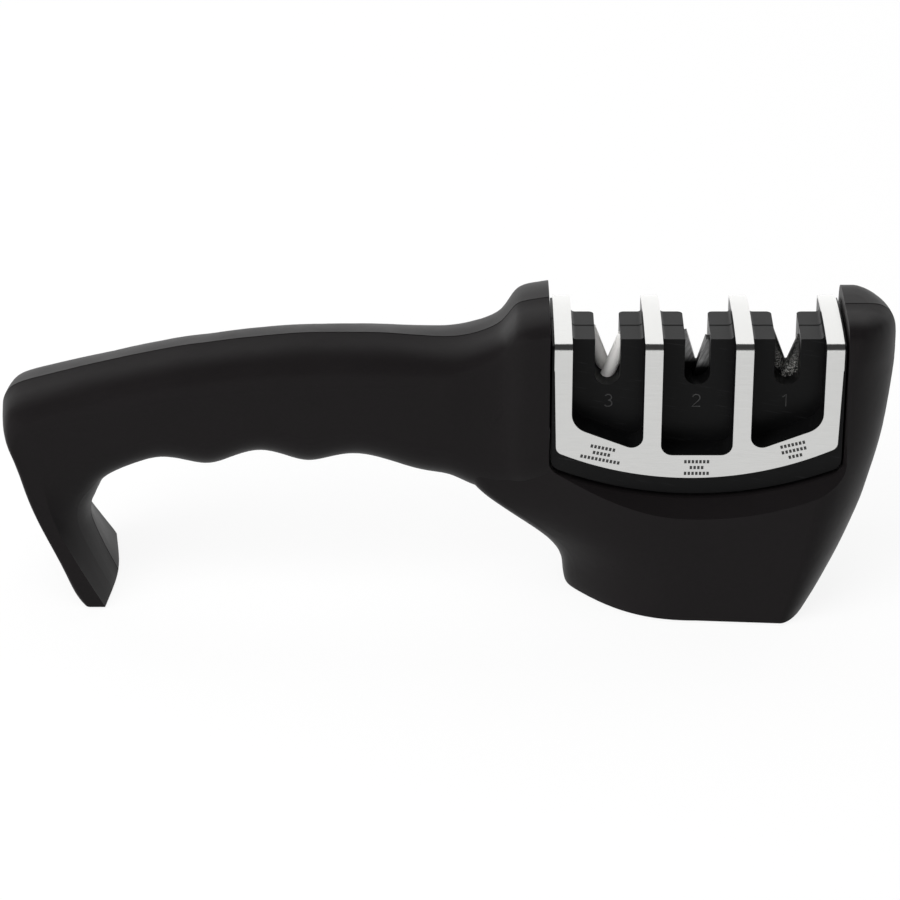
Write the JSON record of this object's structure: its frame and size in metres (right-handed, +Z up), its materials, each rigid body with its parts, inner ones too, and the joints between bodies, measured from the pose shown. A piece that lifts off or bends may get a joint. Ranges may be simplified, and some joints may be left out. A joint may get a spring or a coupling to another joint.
{
  "type": "pull-through knife sharpener",
  "caption": "Hand-held sharpener with a grip, a leg and a flared base, and a lift-out module of knife slots over crossed abrasives.",
  "frame": {"origin": "centre of the bounding box, on the surface that the sharpener stands on", "axes": "+Z up, +X along the sharpener towards its nose, -Y towards the front face"},
  "size_m": [0.2078, 0.0506, 0.0729],
  "materials": {
    "body": "fine matt moulded black",
    "housing": "satin moulded black",
    "bright_sheet": "fine satin",
    "ceramic_rod": "unglazed white",
    "carbide": "ground grey",
    "diamond_coat": "gritty dark grey",
    "insert": "moulded black",
    "screws": "zinc plated",
    "pads": "soft black"
  },
  "bodies": {
    "body": {"body_shell_front": "body", "body_shell_rear": "body", "sole_plate": "body", "sole_pad": "pads", "sole_screws": "screws", "foot_pad": "pads"},
    "module": {"case_front": "housing", "case_rear": "housing", "case_screws": "screws", "bright_frame": "bright_sheet", "ceramic_front": "ceramic_rod", "ceramic_rear": "ceramic_rod", "tungsten_front": "carbide", "tungsten_rear": "carbide", "diamond_front": "diamond_coat", "diamond_rear": "diamond_coat", "ceramic_holder": "insert", "tungsten_holder": "insert", "diamond_holder": "insert", "blade_rivet": "screws"}
  },
  "joints": [
    {"name": "module_lift", "type": "slide", "parent": "body", "child": "module", "axis": [0, 0, 1], "range_m": [0, 0.048]}
  ]
}
